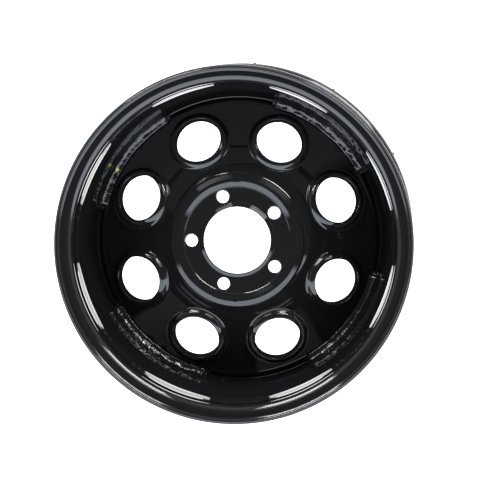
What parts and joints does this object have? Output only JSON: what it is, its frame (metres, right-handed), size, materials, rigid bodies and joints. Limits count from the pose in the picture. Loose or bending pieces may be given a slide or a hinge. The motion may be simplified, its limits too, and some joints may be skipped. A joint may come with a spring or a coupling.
{
  "type": "steel disc wheel",
  "caption": "Black steel off-road car wheel: a rolled drop-centre rim welded to a pressed disc with round collared windows, lug holes and a hub bore.",
  "frame": {"origin": "centre of the inner lip's plane, which is the plane that the wheel lies on", "axes": "+Z along the wheel axis towards the side with the lug seats, +X through the valve hole"},
  "size_m": [0.4416, 0.4416, 0.2333],
  "materials": {
    "rim_enamel": "gloss black enamel over rolled steel",
    "disc_enamel": "gloss black enamel over pressed steel",
    "weld_enamel": "gloss black enamel over rippled weld metal"
  },
  "bodies": {
    "root": {"rim": "rim_enamel", "centre_disc": "disc_enamel", "weld_beads": "weld_enamel"}
  },
  "joints": []
}
